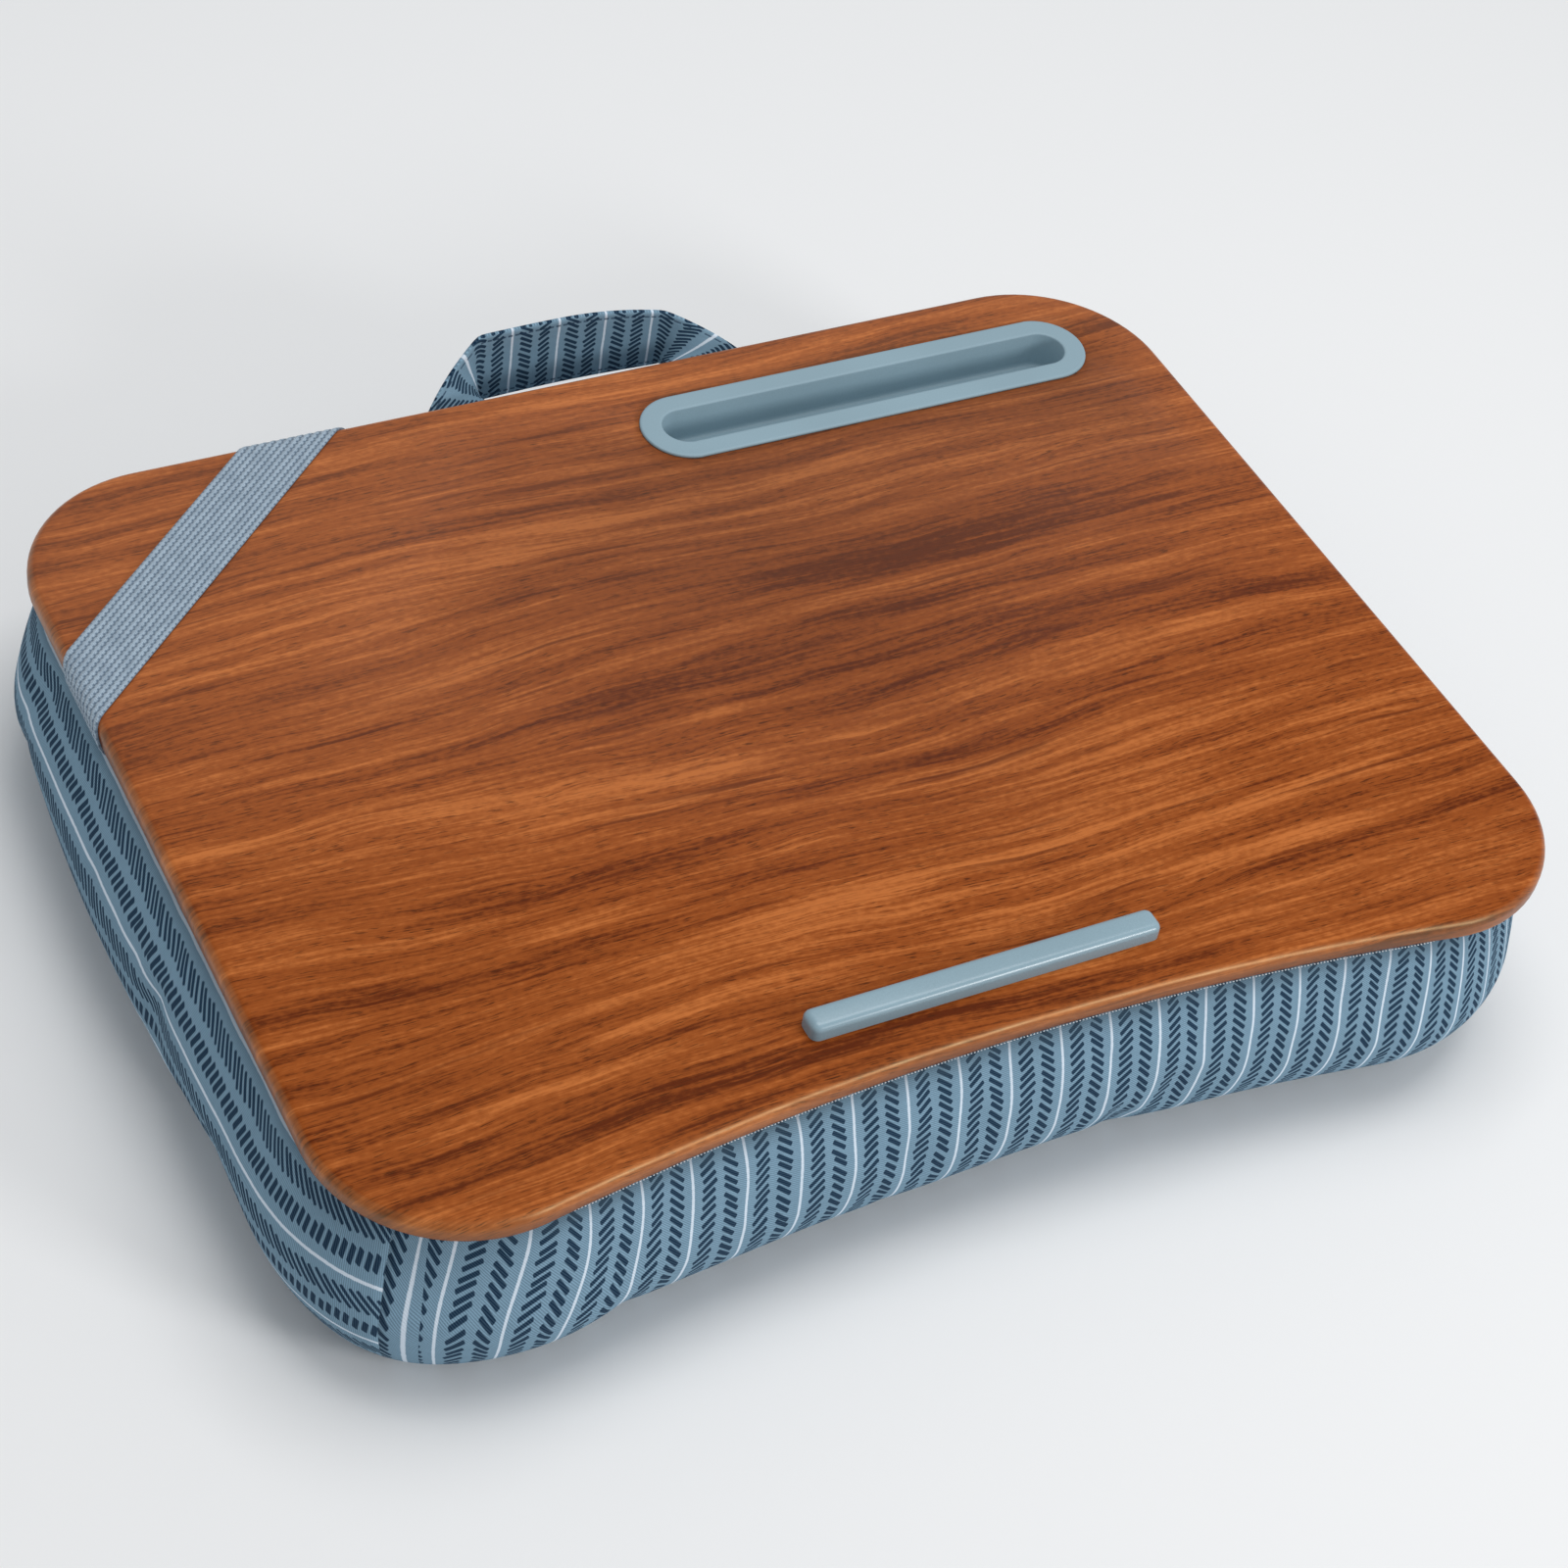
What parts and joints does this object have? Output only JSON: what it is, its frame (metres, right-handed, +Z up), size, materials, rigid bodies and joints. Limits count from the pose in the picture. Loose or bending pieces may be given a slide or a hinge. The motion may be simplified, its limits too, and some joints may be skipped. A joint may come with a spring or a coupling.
{
  "type": "lap desk",
  "caption": "Cushioned lap desk: wood-grain board with a curved-in front edge, phone slot, device ledge, elastic corner strap and carry handle.",
  "frame": {"origin": "on the surface the cushion rests on, under the middle of the board's width and depth", "axes": "+Z up out of the board's top, +X to the user's right, -Y towards the user"},
  "size_m": [0.463, 0.3773, 0.089],
  "materials": {
    "fibreboard": "raw medium-density board",
    "woodgrain": "satin walnut-grain film",
    "backing": "matt paper backing",
    "blue_matte_plastic": "fine matt moulding",
    "blue_gloss_plastic": "semi-gloss moulding",
    "steel": "zinc-plated",
    "elastic": "ribbed woven elastic",
    "printed_fabric": "twill printed with stripes and chevron dashes",
    "hem_fabric": "folded and overlocked",
    "binding_tape": "plain woven tape",
    "lining_fabric": "non-woven sheet",
    "bag_fabric": "fine knit",
    "filling": "foam bead filling",
    "webbing": "woven tape"
  },
  "bodies": {
    "desk": {"board_core": "fibreboard", "woodgrain_film": "woodgrain", "backing_sheet": "backing", "phone_slot_insert": "blue_matte_plastic", "device_ledge": "blue_gloss_plastic", "ledge_screws": "steel", "elastic_strap_left_end": "elastic", "elastic_strap_back_end": "elastic", "strap_staples": "steel", "cover_side_left": "printed_fabric", "cover_side_right": "printed_fabric", "cover_front_bottom_back": "printed_fabric", "cover_hem": "hem_fabric", "hem_staples": "steel", "seam_tape_left": "binding_tape", "seam_tape_right": "binding_tape", "cushion_lining": "lining_fabric", "filling_bag": "bag_fabric", "cushion_filling": "filling", "handle_tabs": "printed_fabric", "handle_staples": "steel"},
    "strap": {"elastic_strap_span": "elastic"},
    "handle": {"carry_handle": "printed_fabric", "handle_webbing": "webbing"}
  },
  "joints": [
    {"name": "handle_swing", "type": "hinge", "parent": "desk", "child": "handle", "pos_m": [0.007, 0.177, 0.0687], "axis": [1, 0, 0], "range_deg": [-40, 45]},
    {"name": "strap_lift", "type": "slide", "parent": "desk", "child": "strap", "axis": [0, 0, 1], "range_m": [0, 0.01], "stiffness_N_per_m": 300}
  ]
}
